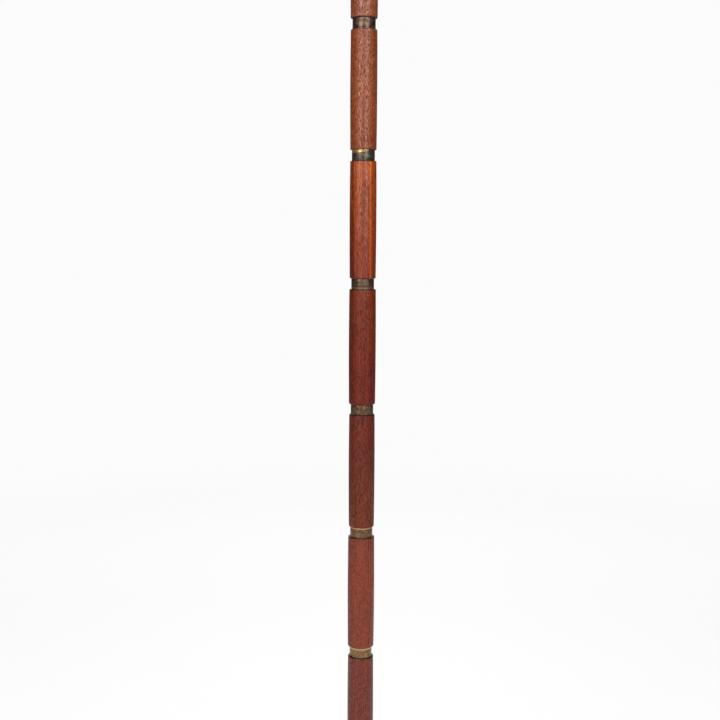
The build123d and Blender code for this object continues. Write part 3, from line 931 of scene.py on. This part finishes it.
def base_disc():
    """The turned base: rounded rim, small step, and a low dome up to the flat under the socket."""
    low, high = heights("base_disc")
    rim_r, rim_top, rim_round = BASE_R, low + 21, 7.0
    step_r, step_top = BASE_R - 10, rim_top + 2.2
    flat_r = 49.0
    slope_middle = ((step_r + flat_r) / 2, (step_top + high) / 2 + 2)
    recess_r, recess_top = 121.0, low + 20
    hole_r, hole_bottom = 16.05, 26.8
    chamfer = 1.5
    shoulder = rim_round * (1 - math.sqrt(0.5))
    rim = arc_through(
        (rim_r, rim_top - rim_round),
        (rim_r - shoulder, rim_top - shoulder),
        (rim_r - rim_round, rim_top),
        12,
    )
    dome = arc_through((step_r, step_top), slope_middle, (flat_r, high), 40)
    outline = rounded([
        (0, recess_top),
        (recess_r, recess_top),
        (recess_r, low),
        (rim_r - chamfer, low, 0.5),
        (rim_r, low + chamfer, 0.5),
        *rim,
        (step_r, rim_top, 0.5),
        (step_r, step_top, 1.0),
        *dome[1:],
        (hole_r, high),
        (hole_r, hole_bottom),
        (0, hole_bottom),
    ])
    piece = sharpen(lathe("turned_base_disc", outline, 256), 40)
    lying = (math.radians(90), math.radians(2), math.radians(8))
    material = wood("wood_base", "mahogany", (0, 0.3, 0.02), 21, turn=lying)
    return place(piece, "base_disc", material)


def clamp_pad():
    """The button at the clamp screw's tip."""
    low, high = (c.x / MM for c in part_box("clamp_pad"))
    radius = 2.7
    outline = rounded([(0, low), (radius, low, 0.4), (radius, high, 0.4), (0, high)])
    piece = sharpen(lathe("turned_clamp_pad", outline, 64, onto=CLAMP_AXIS))
    return place(piece, "clamp_pad", worn_brass("brass_clamp_pad", 11, along_x=True))


def clamp_screw():
    """The thumb screw: threaded shank, neck and fluted head."""
    tip, end = (c.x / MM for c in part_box("clamp_screw"))
    neck_length, head_length = 3.5, 8.0
    head = end - head_length
    neck = head - neck_length
    neck_r, head_r, face_r = 5.5, 11.0, 8.8
    flute_r, flutes, flutes_from = 1.0, 20, 9.5
    bevel, plain, flare = 0.5, 0.3, 0.6
    rows = thread_rows(CLAMP_SCREW_R, tip + bevel, neck - plain, CLAMP_PITCH)
    cut = helix(CLAMP_SCREW_R, rows[0][1], rows[-1][1], CLAMP_PITCH)
    outline = rounded([
        (0, tip),
        (CLAMP_SCREW_R - bevel, tip),
        *rows,
        (CLAMP_SCREW_R, neck),
        (neck_r, neck, 0.5),
        (neck_r, head - flare, 0.5),
        (neck_r + flare, head),
        (head_r, head, 0.9),
        (head_r, end, 0.9),
        (face_r, end),
        (0, end),
    ], steps=5)

    def shape(radius, height, angle):
        if radius < flutes_from:
            return cut(radius, height, angle)
        off = head_r * ((angle * flutes / (2 * math.pi) + 0.5) % 1 - 0.5) * 2 * math.pi / flutes
        groove = math.sqrt(max(0.0, flute_r**2 - off**2))
        return min(radius, head_r - groove)

    piece = sharpen(lathe("fluted_clamp_screw", outline, 360, shape, onto=CLAMP_AXIS), 40)
    return place(piece, "clamp_screw", worn_brass("brass_clamp_screw", 13, along_x=True))


def leather():
    """Vegetable-tanned leather: pebbled grain, with each pebble a little darker or lighter."""
    s = Shader("leather_tan")
    edge, pick = s.cells(s.coords, 1100)
    fold = s.noise(s.coords, scale=420, detail=4, roughness=0.6)
    colour = s.mix(s.remap(fold, 0.3, 0.7), linear(70, 42, 24), linear(124, 80, 46))
    colour = s.mix(s.math("MULTIPLY", pick, 0.25), colour, linear(52, 30, 18))
    height = s.math("MULTIPLY_ADD", fold, 0.6, edge)
    return s.finish(base_color=colour, roughness=0.62, normal=s.bump(height, 0.0002, 0.7))


def socket_pad():
    """The leather disc that the pole stands on."""
    low, high = heights("socket_pad")
    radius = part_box("socket_pad")[1].x / MM
    outline = rounded([(0, low), (radius, low, 0.2), (radius, high, 0.5), (0, high)])
    return place(lathe("cut_socket_pad", outline, 96), "socket_pad", leather())


def pole_ferrule():
    """The pole's brass foot: a tube that is open below, with a web that the rod passes through."""
    low, high = heights("pole_ferrule")
    shoulder = high - SPIGOT_LENGTH
    cavity_r, web_bottom, lead_in = 9.2, 118.0, 1.5
    outline = rounded([
        (cavity_r, low, 0.2),
        (COLLAR_R - lead_in, low, 0.3),
        (COLLAR_R, low + lead_in, 0.6),
        (COLLAR_R, shoulder, SOFT),
        (SPIGOT_R, shoulder),
        (SPIGOT_R, high, SOFT),
        (CLEARED_R, high),
        (CLEARED_R, web_bottom),
        (cavity_r, web_bottom),
    ])
    piece = sharpen(lathe("turned_pole_ferrule", outline, 128))
    material = aged_brass(
        "brass_ferrule", low * MM, shoulder * MM, dark=(92, 72, 46), light=(150, 120, 80), seed=41,
    )
    return place(piece, "pole_ferrule", material)


def socket():
    piece = softened_copy("socket", "cast_socket", SOCKET_BEVEL)
    return place(piece, "socket", worn_brass("brass_socket", 15))


def flange_screws():
    low, high = heights("flange_screws")
    piece = softened_copy("flange_screws", "slotted_flange_screws", SCREW_BEVEL)
    material = aged_brass(
        "brass_screws", low * MM, high * MM, dark=(84, 60, 34), light=(158, 120, 70), seed=17,
        roughness=0.34,
    )
    return place(piece, "flange_screws", material)


def ballast_screws():
    piece = softened_copy("ballast_screws", "slotted_ballast_screws", SCREW_BEVEL)
    return place(piece, "ballast_screws", zinc_steel("steel_ballast_screws", 6))


felt_pad()
base_disc()
clamp_pad()
clamp_screw()
socket_pad()
pole_ferrule()
socket()
flange_screws()
ballast_screws()


# --- carried-over nodes -------------------------------------------------------------------------
def cast_iron():
    """Painted iron with the pebbled skin of a sand casting."""
    s = Shader("iron_painted")
    skin = s.noise(s.coords, scale=420, detail=5, roughness=0.65)
    chips, pick = s.cells(s.coords, 60)
    colour = s.mix(s.remap(skin, 0.35, 0.7), linear(34, 34, 35), linear(62, 62, 63))
    colour = s.mix(s.math("MULTIPLY", s.remap(chips, 0.2, 0.05), pick), colour, linear(96, 58, 40))
    return s.finish(base_color=colour, roughness=0.55, normal=s.bump(skin, 0.0006, 0.8))


def repaint(node, material):
    """Gives a CAD node a better material in its own slots."""
    for slot in frame["nodes"][node].material_slots:
        slot.material = material


repaint("ballast_disc", cast_iron())
repaint("tie_washer", zinc_steel("steel_tie_washer", 1))
repaint("tie_nut", zinc_steel("steel_tie_nut", 2))
repaint("lower_tie_rod", zinc_steel("steel_lower_rod", 3, pitch=ROD_PITCH))
repaint("upper_tie_rod", zinc_steel("steel_upper_rod", 5, pitch=ROD_PITCH))


# --- studio -------------------------------------------------------------------------------------
# Lengths in metres, angles in degrees.
CAMERA_DISTANCE = 1.286
CAMERA_BELOW_UPPER_RING = 0.200
CAMERA_PITCH = 6.8  # looking down
CAMERA_ROLL = 0.315
CAMERA_FIELD = 33.4
CAMERA_SIDE = -0.0024
FLOOR_GLOW = 0.83
BACKDROP_LIGHT = 0.97  # what the camera sees behind the floor
ROOM_LIGHT = 0.10  # what lights the stand from there

camera_height = sum(heights("collar_07")) / 2 * MM - CAMERA_BELOW_UPPER_RING
camera_data = bpy.data.cameras.new("camera")
camera_data.angle = math.radians(CAMERA_FIELD)
camera = bpy.data.objects.new("camera", camera_data)
bpy.context.scene.collection.objects.link(camera)
position = Matrix.Translation((CAMERA_SIDE, -CAMERA_DISTANCE, camera_height))
tilt = Matrix.Rotation(math.radians(90 - CAMERA_PITCH), 4, "X")
roll = Matrix.Rotation(math.radians(CAMERA_ROLL), 4, "Z")
camera.matrix_world = position @ tilt @ roll
bpy.context.scene.camera = camera


def softbox(name, azimuth, distance, height, size, watts):
    """A rectangular light that faces the pole at the camera's height. Azimuth 0 is on the
    camera's side."""
    data = bpy.data.lights.new(name, "AREA")
    data.shape = "RECTANGLE"
    data.size, data.size_y = size
    data.energy = watts
    box = bpy.data.objects.new(name, data)
    box.visible_camera = False
    bpy.context.scene.collection.objects.link(box)
    a = math.radians(azimuth)
    box.location = (distance * math.sin(a), -distance * math.cos(a), height)
    aim = Vector((0, 0, camera_height)) - box.location
    box.rotation_euler = aim.to_track_quat("-Z", "Y").to_euler()
    return box


# Name, azimuth, distance, height above the camera, size and watts.
SOFTBOXES = (
    ("softbox_left", -31, 1.9, 0.67, (1.1, 1.34), 18.5),
    ("softbox_right", 31, 1.9, 0.67, (1.1, 1.34), 20.5),
    ("strip_left", -33, 1.9, 0.50, (0.16, 0.50), 5),
    ("strip_right", 20, 1.9, 0.50, (0.12, 0.50), 3.5),
    ("softbox_back", 180, 2.6, 0.90, (1.2, 1.3), 16),
)
for name, azimuth, distance, rise, size, watts in SOFTBOXES:
    softbox(name, azimuth, distance, camera_height + rise, size, watts)
softbox("overhead", azimuth=0, distance=0.3, height=3.2, size=(3.0, 3.0), watts=40)


def floor():
    """A pale floor that fades into the background far from the stand."""
    radius, bottom = 6000.0, -10.0
    fade_start, fade_end = 1.4, 3.0
    piece = lathe("floor", [(0.0, bottom), (radius, bottom), (radius, 0.0), (0.0, 0.0)], 96)
    s = Shader("floor_white")
    x, y, _ = s.axes(s.coords)
    out = s.math("SQRT", s.math("ADD", s.math("MULTIPLY", x, x), s.math("MULTIPLY", y, y)))
    grain = s.noise(s.coords, scale=300)
    colour = s.mix(grain, (0.19, 0.19, 0.19, 1), (0.22, 0.22, 0.22, 1))
    s.finish(base_color=colour, roughness=0.7, emission_color=(1, 1, 1, 1))
    s.surface.inputs["Emission Strength"].default_value = FLOOR_GLOW
    clear = s.tree.nodes.new("ShaderNodeBsdfTransparent")
    fade = s.tree.nodes.new("ShaderNodeMixShader")
    s.feed(fade.inputs[0], s.remap(out, fade_start, fade_end))
    s.feed(fade.inputs[1], s.surface.outputs[0])
    s.feed(fade.inputs[2], clear.outputs[0])
    s.feed(s.tree.nodes["Material Output"].inputs[0], fade.outputs[0])
    piece.data.materials.append(s.material)


def studio_world():
    """A white backdrop that lights the stand only faintly."""
    world = bpy.data.worlds.new("studio")
    bpy.context.scene.world = world
    world.use_nodes = True
    tree = world.node_tree
    backdrop = tree.nodes["Background"]
    room = tree.nodes.new("ShaderNodeBackground")
    for background, strength in ((backdrop, BACKDROP_LIGHT), (room, ROOM_LIGHT)):
        background.inputs["Color"].default_value = (1, 1, 1, 1)
        background.inputs["Strength"].default_value = strength
    seen = tree.nodes.new("ShaderNodeLightPath")
    choose = tree.nodes.new("ShaderNodeMixShader")
    tree.links.new(seen.outputs["Is Camera Ray"], choose.inputs[0])
    tree.links.new(room.outputs[0], choose.inputs[1])
    tree.links.new(backdrop.outputs[0], choose.inputs[2])
    tree.links.new(choose.outputs[0], tree.nodes["World Output"].inputs[0])


floor()
studio_world()

bpy.context.scene.view_settings.view_transform = "Standard"

bpy.context.view_layer.update()
